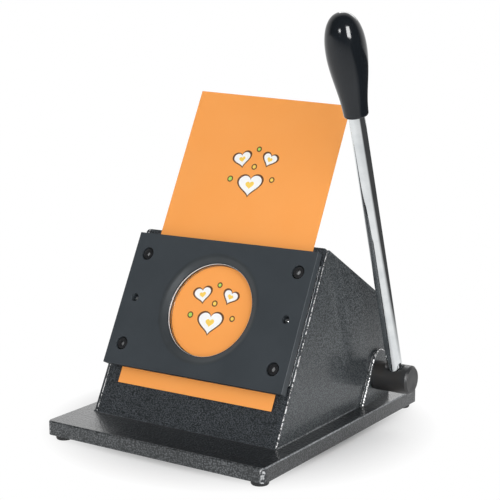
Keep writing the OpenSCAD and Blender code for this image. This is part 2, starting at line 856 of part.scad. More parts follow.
// Radius of the grip at distance t above its lower end
function grip_r(t) =
    t < grip_wide
    ? let (f = t / grip_wide) grip_neck_d / 2 + (grip_d - grip_neck_d) / 2 * f * f * (3 - 2 * f)
    : grip_d / 2 * pow(max(0, 1 - pow((t - grip_wide) / (grip_l - grip_wide), 2.3)), 1 / 2.3);

// Pear-shaped grip
module grip() {
    steps = 40;
    edge = 1.2;
    outline = [for (k = [1:steps - 1]) let (t = grip_l * k / steps) [grip_r(t), t]];
    color(black_steel) on_lever() translate([0, 0, grip_foot]) difference() {
        rotate_extrude() polygon(concat(
            [[0, 0], [grip_neck_d / 2 - edge, 0], [grip_neck_d / 2, edge]], outline, [[0, grip_l]]));
        bar(rod_d / 2 + seat_gap, -over, rod_in_grip + over);
    }
}

base_plate();
rubber_feet();
foot_screws();
base_screws();
mounting_rail(-1);  // mounting_rail_left
mounting_rail(1);  // mounting_rail_right
side_panel(-1);  // side_panel_left
side_panel(1);  // side_panel_right
front_panel();
top_cover();
rear_cover();
rear_bars();
rear_cover_screws();
bearing_plate(-1);  // bearing_plate_left
bearing_plate(1);  // bearing_plate_right
shaft_bush(-1);  // shaft_bush_left
shaft_bush(1);  // shaft_bush_right
stripper_plate();
slot_spacer(-1);  // slot_spacer_left
slot_spacer(1);  // slot_spacer_right
die_plate();
die_ring();
die_screws();
punch_guide();
guide_posts();
post_rings();
paper_sheet();
return_springs();
punch();
carriage();
carriage_bushes();
carriage_screws();
push_stem();
follower_pad();
paper_disc();
cross_shaft();
thrust_washers();
cam();
cam_key();
cam_set_screw();
shaft_collar();
collar_set_screw();
lever_rod();
grip();
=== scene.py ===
"""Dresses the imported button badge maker: finishes, rounded edges, screws, springs and the printed card."""

import json
import math

import bmesh
import bpy
from mathutils import Matrix, Vector


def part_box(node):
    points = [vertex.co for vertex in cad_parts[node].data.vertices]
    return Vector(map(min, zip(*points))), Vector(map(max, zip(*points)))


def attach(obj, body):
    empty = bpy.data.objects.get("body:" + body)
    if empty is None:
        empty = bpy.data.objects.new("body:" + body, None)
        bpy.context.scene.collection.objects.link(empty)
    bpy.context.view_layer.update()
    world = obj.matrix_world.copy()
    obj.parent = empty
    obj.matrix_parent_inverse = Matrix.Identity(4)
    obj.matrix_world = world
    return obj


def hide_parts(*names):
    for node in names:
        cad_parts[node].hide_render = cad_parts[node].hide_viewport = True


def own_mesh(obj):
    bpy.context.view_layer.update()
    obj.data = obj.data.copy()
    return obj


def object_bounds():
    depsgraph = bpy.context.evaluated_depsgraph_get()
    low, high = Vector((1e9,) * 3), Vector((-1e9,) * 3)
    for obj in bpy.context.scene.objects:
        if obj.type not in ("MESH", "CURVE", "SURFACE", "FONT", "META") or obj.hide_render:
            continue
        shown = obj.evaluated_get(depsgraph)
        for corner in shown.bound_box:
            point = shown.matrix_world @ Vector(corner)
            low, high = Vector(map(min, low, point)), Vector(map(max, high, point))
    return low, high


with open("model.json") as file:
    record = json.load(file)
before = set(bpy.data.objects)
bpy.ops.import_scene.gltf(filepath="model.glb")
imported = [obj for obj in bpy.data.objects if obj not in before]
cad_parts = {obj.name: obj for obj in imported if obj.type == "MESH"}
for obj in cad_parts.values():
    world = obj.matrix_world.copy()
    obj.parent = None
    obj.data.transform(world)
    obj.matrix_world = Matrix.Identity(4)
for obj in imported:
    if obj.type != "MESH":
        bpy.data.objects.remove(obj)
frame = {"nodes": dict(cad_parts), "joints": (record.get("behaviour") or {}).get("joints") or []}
cad_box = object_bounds()

MM = 0.001
bpy.context.scene.view_settings.view_transform = "Standard"

# ---------------------------------------------------------------- camera
camera_data = bpy.data.cameras.new("camera")
camera_data.lens = 92.39
camera = bpy.data.objects.new("camera", camera_data)
camera.location = (0.52274, -0.77983, 0.2975)
camera.rotation_euler = (math.radians(79.81), 0, math.radians(33.36))
bpy.context.scene.collection.objects.link(camera)
bpy.context.scene.camera = camera
camera_ahead = Vector((-0.55, 0.835, 0))
camera_right = Vector((0.835, 0.55, 0))

# ---------------------------------------------------------------- sizes in mm
# Depths count out of the front panel's face, along the way the punch moves
DISC_MIDDLE = 1.3
CARD_FACE = 1.45
CARD_T = 0.3
CARD_EDGE = 0.05
INK = 0.04
INK_BODY = 0.032
INK_GAP = 0.01
RING_BACK = 2.6
RING_FRONT = 5.2
LIT_BAND = 1.1
DISC_R = 34.7
RING_BORE_R = 35.05
RING_R = 39.4
SINK_R = 42
DIE_EDGE_X = 70
SCREW_X = 66.3
SCREW_Y = 35.3
SCREW_PLACES = [(-SCREW_X, -SCREW_Y), (SCREW_X, -SCREW_Y), (SCREW_X, SCREW_Y), (-SCREW_X, SCREW_Y)]
SCREW_SEAT = 4.4
SCREW_HEAD_R = 4.25
SCREW_HEAD_H = 3.5
SOCKET_FLATS = 3.4
SHANK_R = 2.5
SHANK_L = 15.4
POST_Y = 0.5
POST_PLACES = [(-SCREW_X, POST_Y), (SCREW_X, POST_Y)]
POST_R = 5
POST_BACK = -55
POST_FRONT = -11
POST_EDGE = 0.3
GROOVE_BACK = -49.65
GROOVE_FRONT = -48.15
GROOVE_DEPTH = 0.6
DOWEL_R = 3
DOWEL_END = 6.2
DOME_R = 3.2
SPRING_BACK = -32
SPRING_FRONT = -11
SPRING_R = 6.4
WIRE_R = 0.9
SPRING_TURNS = 4

LEVER_LEAN = 19
ROD_R = 5.75
ROD_FOOT = -9
ROD_TOP = 263.5
ROD_EDGE = 0.8
GRIP_FOOT = 213.5
GRIP_TOP = 286.56
GRIP_L = GRIP_TOP - GRIP_FOOT
GRIP_R = 14.1
GRIP_NECK_R = 8.65
GRIP_WIDE = 46.3
GRIP_SHOULDER = 69.5
GRIP_BORE_R = ROD_R + 0.03

FOOT_R = 6.25
FOOT_BOTTOM = -4.2
FOOT_TOP = 2
FOOT_INSET = 9
FOOT_RECESS_R = 4
FOOT_RECESS = -1.62
FOOT_BORE_R = 2.3

HALF_BODY = 80
PANEL_EDGE_ROUND = 0.75
HIGHLIGHT_STRIP = (-77.9, -77.2)
LUG_EDGE_ROUND = 0.95
BORE_ROOM = 11.5
SEAM = 0.7
SEAM_GAP = 0.02

# ---------------------------------------------------------------- places
joints = {joint["name"]: joint for joint in frame["joints"]}
out_of_face = Vector(joints["punch_slide"]["axis"]).normalized()
across_face = Vector((1, 0, 0))
up_face = out_of_face.cross(across_face)


def middle(node):
    """Middle of a CAD node's box."""
    low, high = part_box(node)
    return (low + high) / 2


def in_mm(origin, x_axis, y_axis, z_axis):
    """Turns mm along three axes from an origin into the frame's metres."""
    turn = Matrix((x_axis, y_axis, z_axis)).transposed().to_4x4()
    return Matrix.Translation(origin) @ turn @ Matrix.Scale(MM, 4)


face_origin = middle("paper_disc") - out_of_face * DISC_MIDDLE * MM
FACE = in_mm(face_origin, across_face, up_face, out_of_face)
to_face = FACE.inverted()

shaft_origin = Vector(joints["lever_turn"]["pos_m"])
rod_origin = Vector((middle("lever_rod").x, shaft_origin.y, shaft_origin.z))
lean = Matrix.Rotation(math.radians(LEVER_LEAN), 4, "X")
LEVER = Matrix.Translation(rod_origin) @ lean @ Matrix.Scale(MM, 4)

GROUND = Matrix.Scale(MM, 4)


# ---------------------------------------------------------------- finishes
def hue(code):
    """Linear colour of an sRGB hex value."""
    parts = [int(code[k:k + 2], 16) / 255 for k in (1, 3, 5)]
    return [c / 12.92 if c <= 0.04045 else ((c + 0.055) / 1.055) ** 2.4 for c in parts] + [1.0]


def add(tree, kind, sockets=None, **settings):
    """Adds a node with its settings, and sets or links its sockets."""
    made = tree.nodes.new(kind)
    for name, value in settings.items():
        setattr(made, name, value)
    for name, value in (sockets or {}).items():
        if isinstance(value, bpy.types.NodeSocket):
            tree.links.new(value, made.inputs[name])
        else:
            made.inputs[name].default_value = value
    return made


def new_finish(name, **sockets):
    """A material with its shader's constant values set; gives the material, its tree and its shader."""
    material = bpy.data.materials.new(name)
    material.use_nodes = True
    tree = material.node_tree
    shader = tree.nodes["Principled BSDF"]
    for socket, value in sockets.items():
        shader.inputs[socket.replace("_", " ")].default_value = value
    return material, tree, shader


def hammered_enamel(name, valley, lump_colour, lump, height, shine, coat=0.35, haze=0.12):
    """Stoved hammer enamel: aluminium flake in a lacquer that crawls into glossy lumps, lump mm apart."""
    sockets = {"Metallic": 0.35, "Roughness": shine, "Coat_Weight": coat, "Coat_Roughness": haze}
    material, tree, shader = new_finish(name, **sockets)
    place = add(tree, "ShaderNodeTexCoord").outputs["Object"]
    wander = add(tree, "ShaderNodeTexNoise", {"Vector": place, "Scale": 1000 / (lump * 3), "Detail": 1})
    sway = 1.4 * MM
    bent = add(tree, "ShaderNodeMix", {0: sway, 4: place, 5: wander.outputs["Color"]}, data_type="VECTOR")
    lumps = add(
        tree,
        "ShaderNodeTexVoronoi",
        {"Vector": bent.outputs[1], "Scale": 1000 / lump, "Smoothness": 0.5, "Randomness": 1},
        feature="SMOOTH_F1",
    )
    crown = add(tree, "ShaderNodeMapRange", {0: lumps.outputs["Distance"], 1: 0.15, 2: 0.6, 3: 1, 4: 0})
    cloud_size = {"Vector": place, "Scale": 1000 / 18, "Detail": 3, "Roughness": 0.6}
    cloud = add(tree, "ShaderNodeTexNoise", cloud_size)
    tone = add(tree, "ShaderNodeMapRange", {0: cloud.outputs["Fac"], 1: 0.3, 2: 0.75, 3: 0.55, 4: 1})
    amount = add(tree, "ShaderNodeMath", {0: crown.outputs[0], 1: tone.outputs[0]}, operation="MULTIPLY")
    shade = add(
        tree,
        "ShaderNodeMix",
        {0: amount.outputs[0], 6: hue(valley), 7: hue(lump_colour)},
        data_type="RGBA",
    )
    relief = add(tree, "ShaderNodeBump", {"Height": crown.outputs[0], "Strength": 1, "Distance": height * MM})
    tree.links.new(shade.outputs[2], shader.inputs["Base Color"])
    tree.links.new(relief.outputs[0], shader.inputs["Normal"])
    return material


def brushed(name, colour, dark, roughness, grain, stretch, metallic=1.0, depth=0.01):
    """Bare or plated metal with fine marks; stretch runs the marks along one axis."""
    material, tree, shader = new_finish(name, Metallic=metallic)
    place = add(tree, "ShaderNodeTexCoord").outputs["Object"]
    run = add(tree, "ShaderNodeMapping", {"Vector": place, "Scale": stretch})
    marks = add(tree, "ShaderNodeTexNoise", {"Vector": run.outputs[0], "Scale": 1000 / grain, "Detail": 4})
    stain_size = {"Vector": place, "Scale": 1000 / 14, "Detail": 3, "Roughness": 0.55}
    stain = add(tree, "ShaderNodeTexNoise", stain_size)
    patch = add(tree, "ShaderNodeMapRange", {0: stain.outputs["Fac"], 1: 0.42, 2: 0.72, 3: 0, 4: 1})
    shade = add(tree, "ShaderNodeMix", {0: patch.outputs[0], 6: hue(colour), 7: hue(dark)}, data_type="RGBA")
    gloss = add(
        tree,
        "ShaderNodeMapRange",
        {0: marks.outputs["Fac"], 1: 0.25, 2: 0.75, 3: roughness * 0.75, 4: roughness * 1.3},
    )
    bumps = {"Height": marks.outputs["Fac"], "Strength": 0.5, "Distance": depth * MM}
    relief = add(tree, "ShaderNodeBump", bumps)
    tree.links.new(shade.outputs[2], shader.inputs["Base Color"])
    tree.links.new(gloss.outputs[0], shader.inputs["Roughness"])
    tree.links.new(relief.outputs[0], shader.inputs["Normal"])
    return material


def speckled_highlight(name, bare, paint, speck, low, high):
    """Speckled painted highlight on enamel: specks of a light colour (bare) between specks of paint, laid on
    as base colour.
    """
    material, tree, shader = new_finish(name, Metallic=0.3, Roughness=0.4)
    place = add(tree, "ShaderNodeTexCoord").outputs["Object"]
    speck_size = {"Vector": place, "Scale": 1000 / speck, "Detail": 2, "Roughness": 0.5}
    specks = add(tree, "ShaderNodeTexNoise", speck_size)
    highlight_mask = add(tree, "ShaderNodeMapRange", {0: specks.outputs["Fac"], 1: low, 2: high, 3: 0, 4: 1})
    shade = add(tree, "ShaderNodeMix", {0: highlight_mask.outputs[0], 6: hue(paint), 7: hue(bare)}, data_type="RGBA")
    tree.links.new(shade.outputs[2], shader.inputs["Base Color"])
    return material


def mottled(name, colour, other, roughness, grain, depth, **sockets):
    """Moulded, cast or coated surface with a soft grain and slow changes of tone."""
    material, tree, shader = new_finish(name, **sockets)
    place = add(tree, "ShaderNodeTexCoord").outputs["Object"]
    skin_size = {"Vector": place, "Scale": 1000 / grain, "Detail": 3, "Roughness": 0.6}
    skin = add(tree, "ShaderNodeTexNoise", skin_size)
    cloud_size = {"Vector": place, "Scale": 1000 / 35, "Detail": 3, "Roughness": 0.55}
    cloud = add(tree, "ShaderNodeTexNoise", cloud_size)
    patch = add(tree, "ShaderNodeMapRange", {0: cloud.outputs["Fac"], 1: 0.35, 2: 0.7, 3: 0, 4: 1})
    shade = add(tree, "ShaderNodeMix", {0: patch.outputs[0], 6: hue(colour), 7: hue(other)}, data_type="RGBA")
    gloss = add(
        tree,
        "ShaderNodeMapRange",
        {0: skin.outputs["Fac"], 1: 0.3, 2: 0.7, 3: roughness * 0.88, 4: roughness * 1.12},
    )
    bumps = {"Height": skin.outputs["Fac"], "Strength": 0.6, "Distance": depth * MM}
    relief = add(tree, "ShaderNodeBump", bumps)
    tree.links.new(shade.outputs[2], shader.inputs["Base Color"])
    tree.links.new(gloss.outputs[0], shader.inputs["Roughness"])
    tree.links.new(relief.outputs[0], shader.inputs["Normal"])
    return material


# Hammer enamel on the folded and welded housing: dark grey with lighter, glossy lumps
housing_enamel = hammered_enamel("hammer_enamel_housing", "#282D30", "#646970", 0.85, 0.14, 0.34)
# The same enamel on the flat side sheets and bearing plates, painted lighter: a lit copy for the light that
# falls on the sides
lit_side_enamel = hammered_enamel("hammer_enamel_sides_lit", "#2F3437", "#747A7E", 1.05, 0.15, 0.36)
# The same enamel on the sawn edges of the base plate, where it pulled into larger lumps
base_enamel = hammered_enamel("hammer_enamel_base_edges", "#262A2C", "#717477", 1.2, 0.15, 0.34)
# The same enamel on the base plate's long sides, with finer lumps and painted darker: a shaded copy for the
# light on the sides
shaded_base_side_enamel = hammered_enamel("hammer_enamel_base_sides_shaded", "#1F2224", "#54575A", 1.15, 0.12, 0.36)
# The same enamel on top of the base plate, where it lay flat in the oven and levelled out; painted
# near-black, a shaded copy for how light falls on the top
levelled_shaded_enamel = hammered_enamel("hammer_enamel_levelled_shaded", "#13171A", "#1A1F23", 1.8, 0.26, 0.32, 1.0, 0.24)
# Painted highlight on enamel edges: near-white specks that stand in for light glinting on the rounded edges
edge_glint_enamel = speckled_highlight("enamel_edge_painted_highlight", "#FAFAFA", "#303336", 1.2, 0.45, 0.56)
# Painted highlight at the base plate's front corners: light grey specks in the enamel where light falls on
# the rounded corners
corner_glint_enamel = speckled_highlight("base_corner_painted_highlight", "#C4C6C8", "#303336", 1.6, 0.44, 0.62)
# Enamel gathered in the seam at the housing's foot, coloured light grey on its crest: a painted highlight
# along the seam
seam_glint_enamel = speckled_highlight("seam_enamel_painted_highlight", "#84878A", "#34373A", 1.3, 0.42, 0.66)
# Painted highlight along the base plate's right chamfer: light grey specks in the enamel where light catches
# the edge
chamfer_glint_enamel = speckled_highlight("base_chamfer_painted_highlight", "#A0A3A6", "#585B5E", 1.2, 0.35, 0.62)
# Satin blue-black lacquer on the milled die plate, with a faint orange peel
die_lacquer = mottled(
    "satin_lacquer_die_plate", "#373D42", "#3C4247", 0.45, 1.1, 0.02, Specular_IOR_Level=0.35
)
# The same lacquer painted lighter on the plate's rounded right edge: a painted highlight along that edge
die_edge_glint_lacquer = mottled("die_edge_painted_highlight", "#62686D", "#565C61", 0.42, 1.1, 0.02)
# Turned countersink under the same lacquer, which lies thin there and lets a little metal glint
turned_lacquer = mottled("satin_lacquer_countersink", "#393E42", "#414649", 0.41, 0.9, 0.02, Metallic=0.22)
# Painted shade: near-black on the bore behind its bright front band, where the gap to the card lies in shadow
bore_shade = mottled("painted_shade_bore", "#0D0E0F", "#121314", 0.5, 0.8, 0.01)
# The bore's front band, lapped bright and seen at a flat angle: painted near-white and half matt, a painted
# highlight in place of its reflection
land_highlight = mottled("land_painted_highlight", "#F4F4F4", "#E8E8E8", 0.4, 0.4, 0.004, Metallic=0.3)
# Light grey on the floor of a screw's socket: a painted glint
socket_glint = mottled("socket_floor_painted_glint", "#C9CACB", "#A5A6A7", 0.4, 0.4, 0.004, Metallic=0.3)
# Hardened tool steel, ground and lapped where it cuts
lapped_steel = brushed("lapped_tool_steel", "#E4E5E6", "#C2C4C6", 0.12, 0.6, (1, 1, 1), 1.0, 0.004)
# Ground steel plates and posts with fine grinding marks along X
ground_steel = brushed("ground_steel", "#A9ABAD", "#8C8E90", 0.3, 0.5, (0.05, 1, 1), 1.0, 0.012)
# Zinc-plated steel screws
zinc_plate = brushed("zinc_plated_steel", "#B4B7B9", "#96999B", 0.3, 0.7, (1, 1, 1), 1.0, 0.01)
# Black oxide on turned steel: a thin dark skin with turning marks round the shaft and brown traces of oil
black_oxide = brushed("black_oxide_steel", "#37383A", "#3A3734", 0.36, 0.45, (1, 0.08, 0.08), 0.35, 0.015)
# Black oxide on small screws, oiled
screw_black = brushed("black_oxide_screws", "#3A3B3E", "#4A4B4D", 0.24, 0.6, (1, 1, 1), 0.7, 0.01)
# Bright chrome plate on a drawn rod
chrome_plate = brushed("bright_chrome_plate", "#E3E6E7", "#D3D7D9", 0.06, 0.8, (1, 1, 0.03), 1.0, 0.002)
# Sintered bronze, porous and oily
sintered_bronze = brushed("sintered_bronze", "#8F6B3C", "#6E4F2A", 0.42, 0.35, (1, 1, 1), 1.0, 0.02)
# Spring wire, cold drawn and lightly oiled
spring_wire = brushed("drawn_spring_wire", "#7C7E80", "#5E5F61", 0.32, 0.5, (1, 1, 1), 1.0, 0.01)
# Phenolic grip, moulded glossy black, slightly blue where it mirrors a pale room
phenolic = mottled("moulded_phenolic", "#15191D", "#191D22", 0.12, 6, 0.01, Specular_IOR_Level=0.42)
# Moulded rubber of the feet, matt
foot_rubber = mottled("moulded_rubber", "#17181A", "#1F2022", 0.62, 0.5, 0.03)
# Uncoated card: dyed orange, soft and matt, with a faint felt of fibres
orange_card = mottled("uncoated_card_orange", "#FFA958", "#FFA754", 0.75, 0.4, 0.002, Specular_IOR_Level=0.25)
# Printer's inks on the card, matt
ink_white = mottled("ink_white", "#FFFFFF", "#FBFBFA", 0.6, 0.3, 0.002, Specular_IOR_Level=0.25)
ink_brown = mottled("ink_brown", "#6B4830", "#66452E", 0.6, 0.3, 0.002, Specular_IOR_Level=0.25)
ink_yellow = mottled("ink_yellow", "#FFD966", "#FFD560", 0.6, 0.3, 0.002, Specular_IOR_Level=0.25)
ink_green = mottled("ink_green", "#B7E36A", "#B0DD64", 0.6, 0.3, 0.002, Specular_IOR_Level=0.25)


# ---------------------------------------------------------------- shaping
def piece(name, bm, finishes, body, stands_for=(), smooth=40):
    """Writes a finished shape as an object that rides on a body."""
    mesh = bpy.data.meshes.new(name)
    bm.to_mesh(mesh)
    bm.free()
    obj = bpy.data.objects.new(name, mesh)
    bpy.context.scene.collection.objects.link(obj)
    for finish in finishes:
        mesh.materials.append(finish)
    mesh.shade_smooth()
    mesh.set_sharp_from_angle(angle=math.radians(smooth))
    even = obj.modifiers.new("even_normals", "WEIGHTED_NORMAL")
    even.keep_sharp = True
    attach(obj, body)
    if stands_for:
        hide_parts(*stands_for)
    return obj


def cad_shape(node):
    """A merged copy of a CAD node with its flat faces whole, in metres."""
    bm = bmesh.new()
    bm.from_mesh(frame["nodes"][node].data)
    bmesh.ops.remove_doubles(bm, verts=bm.verts, dist=0.002 * MM)
    bmesh.ops.dissolve_limit(
        bm, angle_limit=math.radians(0.05), use_dissolve_boundaries=False, verts=bm.verts, edges=bm.edges
    )
    return bm


def rounded(bm, edge, chosen=None, material=None, segments=2, clamp=True):
    """Rounds a shape's sharp edges by a radius in mm; the roundings can have a finish of their own."""
    sharp = [e for e in bm.edges if len(e.link_faces) == 2 and e.calc_face_angle(0) > math.radians(28)]
    if chosen:
        sharp = [e for e in sharp if chosen(e)]
    made = bmesh.ops.bevel(
        bm,
        geom=sharp,
        offset=edge * MM,
        offset_type="OFFSET",
        segments=segments,
        profile=0.5,
        affect="EDGES",
        material=-1,
        clamp_overlap=clamp,
    )
    if material is not None:
        for f in made["faces"]:
            f.material_index = material
    bmesh.ops.dissolve_degenerate(bm, dist=0.001 * MM, edges=bm.edges)
    return bm


def dressed(node, finish, body, edge=0.3, smooth=40):
    """A CAD node's own shape with rounded edges and a finish."""
    shape = rounded(cad_shape(node), edge)
    return piece(node + "_dressed", shape, [finish], body, [node], smooth)


def turned(outline, steps=64):
    """Full turn of an outline of (radius, height) points in mm about the z axis."""
    bm = bmesh.new()
    points = [bm.verts.new((r, 0, z)) for r, z in outline]
    lines = [bm.edges.new(pair) for pair in zip(points, points[1:])]
    bmesh.ops.spin(
        bm,
        geom=points + lines,
        cent=(0, 0, 0),
        axis=(0, 0, 1),
        angle=2 * math.pi,
        steps=steps,
        use_merge=True,
    )
    bmesh.ops.remove_doubles(bm, verts=bm.verts, dist=0.0005)
    bmesh.ops.recalc_face_normals(bm, faces=bm.faces)
    return bm


def repeated(bm, places):
    """Puts a shape at each of several places."""
    first = bm.verts[:] + bm.edges[:] + bm.faces[:]
    first_verts = bm.verts[:]
    for place in places[1:]:
        made = bmesh.ops.duplicate(bm, geom=first)["geom"]
        moved = [g for g in made if isinstance(g, bmesh.types.BMVert)]
        bmesh.ops.transform(bm, matrix=place, verts=moved)
    bmesh.ops.transform(bm, matrix=places[0], verts=first_verts)
    return bm


def socket_screw(head_r, head_h, flats, shank_r, shank_l, crown=0.3):
    """Socket screw in mm, its seat at z = 0 and its shank down, with a hexagon socket in its head."""
    hole_r = flats / 2
    edge = 0.35
    bm = turned(
        [
            (hole_r, head_h + crown * 0.3),
            (hole_r + 0.25, head_h + crown * 0.3),
            (head_r - edge * 1.6, head_h - crown * 0.2),
            (head_r - edge * 0.4, head_h - edge * 0.5),
            (head_r, head_h - edge * 1.5),
            (head_r, 0.15),
            (head_r - 0.15, 0),
            (shank_r, 0),
            (shank_r, -shank_l + 0.4),
            (shank_r - 0.4, -shank_l),
            (0, -shank_l),
        ],
        36,
    )
    rim = [e for e in bm.edges if e.is_boundary]
    for v in {v for e in rim for v in e.verts}:
        corner = math.atan2(v.co.y, v.co.x) % (math.pi / 3) - math.pi / 6
        v.co.xy = v.co.xy.normalized() * hole_r / math.cos(corner)
    walls = bmesh.ops.extrude_edge_only(bm, edges=rim)["geom"]
    foot = [g for g in walls if isinstance(g, bmesh.types.BMVert)]
    bmesh.ops.translate(bm, verts=foot, vec=(0, 0, -head_h * 0.62))
    low_rim = [g for g in walls if isinstance(g, bmesh.types.BMEdge) and g.is_boundary]
    bmesh.ops.contextual_create(bm, geom=low_rim)
    bmesh.ops.recalc_face_normals(bm, faces=bm.faces)
    return bm


# ---------------------------------------------------------------- base
base_low, base_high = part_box("base_plate")


def on_top(edge):
    """Tells whether an edge of the base plate reaches its top."""
    return max(v.co.z for v in edge.verts) > base_high.z - 1.5 * MM


base_shape = rounded(cad_shape("base_plate"), 0.35, on_top)
base_finishes = [base_enamel, levelled_shaded_enamel, corner_glint_enamel, chamfer_glint_enamel, shaded_base_side_enamel]
for f in base_shape.faces:
    way = f.normal
    upright = abs(way.z) < 0.3
    # The top gets the near-black, shaded copy of the enamel
    if way.z > 0.9:
        f.material_index = base_finishes.index(levelled_shaded_enamel)
    # Only the chamfer on the right, facing the lamps, gets the painted highlight
    elif 0.3 < way.z < 0.9 and way.x > 0.3:
        f.material_index = base_finishes.index(chamfer_glint_enamel)
    # The long sides get the darker, shaded copy of the enamel
    elif abs(way.x) > 0.9:
        f.material_index = base_finishes.index(shaded_base_side_enamel)
    # The base plate's front corners get the painted highlight
    elif upright and abs(way.x) > 0.15 and abs(way.y) > 0.15 and f.calc_center_median().y < 0:
        f.material_index = base_finishes.index(corner_glint_enamel)
piece("base_plate_enamelled", base_shape, base_finishes, "housing", ["base_plate"], 50)

foot_places = [
    Matrix.Translation((x, y, 0)) @ GROUND
    for x in (base_low.x + FOOT_INSET * MM, base_high.x - FOOT_INSET * MM)
    for y in (base_low.y + FOOT_INSET * MM, base_high.y - FOOT_INSET * MM)
]
foot_outline = [
    (FOOT_RECESS_R, FOOT_RECESS),
    (FOOT_RECESS_R, FOOT_BOTTOM + 0.3),
    (FOOT_RECESS_R + 0.3, FOOT_BOTTOM),
    (FOOT_R - 1.3, FOOT_BOTTOM),
    (FOOT_R - 0.5, FOOT_BOTTOM + 0.25),
    (FOOT_R - 0.1, FOOT_BOTTOM + 0.9),
    (FOOT_R, FOOT_BOTTOM + 1.8),
    (FOOT_R, FOOT_TOP - 0.1),
    (FOOT_R - 0.1, FOOT_TOP),
    (FOOT_BORE_R, FOOT_TOP),
    (FOOT_BORE_R, FOOT_RECESS),
    (FOOT_RECESS_R, FOOT_RECESS),
]
feet = repeated(turned(foot_outline, 48), foot_places)
piece("feet_moulded", feet, [foot_rubber], "housing", ["rubber_feet"])

dressed("foot_screws", zinc_plate, "housing", 0.15)
dressed("base_screws", zinc_plate, "housing", 0.15)
for side in ("left", "right"):
    dressed("mounting_rail_" + side, housing_enamel, "housing", 0.3)

# ---------------------------------------------------------------- housing
def on_long_side(edge, side):
    """Tells whether an edge runs along one side of the front panel, on its face."""
    ends = [to_face @ v.co for v in edge.verts]
    beside = all(abs(e.x - side * HALF_BODY) < 0.1 and abs(e.z) < 0.1 for e in ends)
    return beside and abs(ends[0].y - ends[1].y) > 20


panel_shape = cad_shape("front_panel")
panel_finishes = [housing_enamel, edge_glint_enamel]
highlight_index = panel_finishes.index(edge_glint_enamel)
# The rounding of the panel's right edge carries a painted highlight
rounded(panel_shape, PANEL_EDGE_ROUND, lambda e: on_long_side(e, 1), material=highlight_index, segments=1, clamp=False)
rounded(panel_shape, PANEL_EDGE_ROUND, lambda e: on_long_side(e, -1), clamp=False)
# A painted highlight runs along a thin strip just inside the panel's left edge
for x in HIGHLIGHT_STRIP:
    whole = panel_shape.verts[:] + panel_shape.edges[:] + panel_shape.faces[:]
    bmesh.ops.bisect_plane(panel_shape, geom=whole, plane_co=(x * MM, 0, 0), plane_no=across_face)
for f in panel_shape.faces:
    spot = to_face @ f.calc_center_median()
    if HIGHLIGHT_STRIP[0] < spot.x < HIGHLIGHT_STRIP[1] and abs(spot.z) < 0.1:
        f.material_index = highlight_index
piece("front_panel_enamelled", panel_shape, panel_finishes, "housing", ["front_panel"], 35)

lug_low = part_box("bearing_plate_right")[0]


def on_rim(edge):
    """Tells whether an edge belongs to a bearing plate's outline and not to its bore or its foot."""
    ends = [v.co for v in edge.verts]
    if abs(ends[0].x - ends[1].x) > 0.5 * MM or max(e.z for e in ends) < lug_low.z + 0.1 * MM:
        return False
    return all((e.yz - shaft_origin.yz).length > BORE_ROOM * MM for e in ends)


lug_finishes = [lit_side_enamel, edge_glint_enamel]
highlight_index = lug_finishes.index(edge_glint_enamel)
for side in ("left", "right"):
    dressed("side_panel_" + side, lit_side_enamel, "housing", 0.3)
    lug = "bearing_plate_" + side
    # The bearing plates' outline roundings carry the painted edge highlight
    lug_shape = rounded(cad_shape(lug), LUG_EDGE_ROUND, on_rim, material=highlight_index, segments=3, clamp=False)
    piece("bearing_plate_welded_" + side, lug_shape, lug_finishes, "housing", [lug])
    dressed("shaft_bush_" + side, sintered_bronze, "housing", 0.15)
dressed("top_cover", housing_enamel, "housing", 0.3)
dressed("rear_cover", housing_enamel, "housing", 0.4)
dressed("rear_bars", housing_enamel, "housing", 0.3)
dressed("rear_cover_screws", screw_black, "housing", 0.25)

# Enamel that gathered in the seam where the housing stands on the base plate; the side runs carry a painted
# highlight, the front run plain enamel
panel_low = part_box("front_panel")[0]
front_left = Vector((-HALF_BODY * MM, panel_low.y, base_high.z))
front_right = Vector((HALF_BODY * MM, panel_low.y, base_high.z))
rear_left = Vector((-HALF_BODY * MM, lug_low.y, base_high.z))
rear_right = Vector((HALF_BODY * MM, lug_low.y, base_high.z))
seam_runs = (
    (front_right, rear_right, Vector((1, 0, 0)), seam_glint_enamel),
    (front_left, rear_left, Vector((-1, 0, 0)), seam_glint_enamel),
    (front_left, front_right, Vector((0, -1, 0)), housing_enamel),
)
seam_finishes = [seam_glint_enamel, housing_enamel]
seam_profile = [(SEAM_GAP, SEAM_GAP), (SEAM, SEAM_GAP), (SEAM * 0.35, SEAM * 0.35), (SEAM_GAP, SEAM)]
seam = bmesh.new()
for start, end, out, finish in seam_runs:
    steps = [(out * o + Vector((0, 0, z))) * MM for o, z in seam_profile]
    near = [seam.verts.new(start + step) for step in steps]
    beyond = [seam.verts.new(end + step) for step in steps]
    strip = [seam.faces.new(near), seam.faces.new(beyond)]
    for k in range(4):
        strip.append(seam.faces.new((near[k], near[(k + 1) % 4], beyond[(k + 1) % 4], beyond[k])))
    for f in strip:
        f.material_index = seam_finishes.index(finish)
bmesh.ops.recalc_face_normals(seam, faces=seam.faces)
piece("foot_seam_enamelled", seam, seam_finishes, "housing")

# ---------------------------------------------------------------- die set
dressed("stripper_plate", ground_steel, "housing", 0.15)
for side in ("left", "right"):
    dressed("slot_spacer_" + side, screw_black, "housing", 0.15)

die_shape = cad_shape("die_plate")
die_finishes = [die_lacquer, turned_lacquer, die_edge_glint_lacquer]
for f in die_shape.faces:
    spot = to_face @ f.calc_center_median()
    tilt = f.normal.dot(out_of_face)
    if 0.2 < tilt < 0.95 and spot.xy.length < SINK_R + 1:
        f.material_index = die_finishes.index(turned_lacquer)
rounded(die_shape, 0.35)
